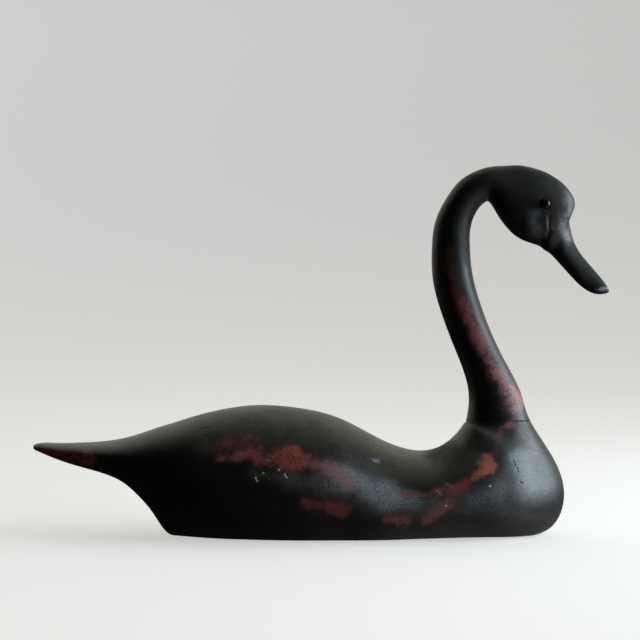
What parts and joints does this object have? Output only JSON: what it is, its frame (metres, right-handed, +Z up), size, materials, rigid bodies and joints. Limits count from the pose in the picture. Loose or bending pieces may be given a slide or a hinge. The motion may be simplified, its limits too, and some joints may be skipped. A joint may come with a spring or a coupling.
{
  "type": "swan decoy",
  "caption": "Carved wooden swan decoy with a flat base, a separate neck and head on a level joint, and glass eyes.",
  "frame": {"origin": "on the ground, under the middle of the length and breadth", "axes": "+X towards the bill, +Y to the bird's left, +Z up"},
  "size_m": [0.75, 0.1962, 0.48],
  "materials": {
    "painted_wood": "black paint rubbed through to red",
    "eye_glass": "dark polished glass"
  },
  "bodies": {
    "root": {"body": "painted_wood", "neck_and_head": "painted_wood", "eye_left": "eye_glass", "eye_right": "eye_glass"}
  },
  "joints": []
}
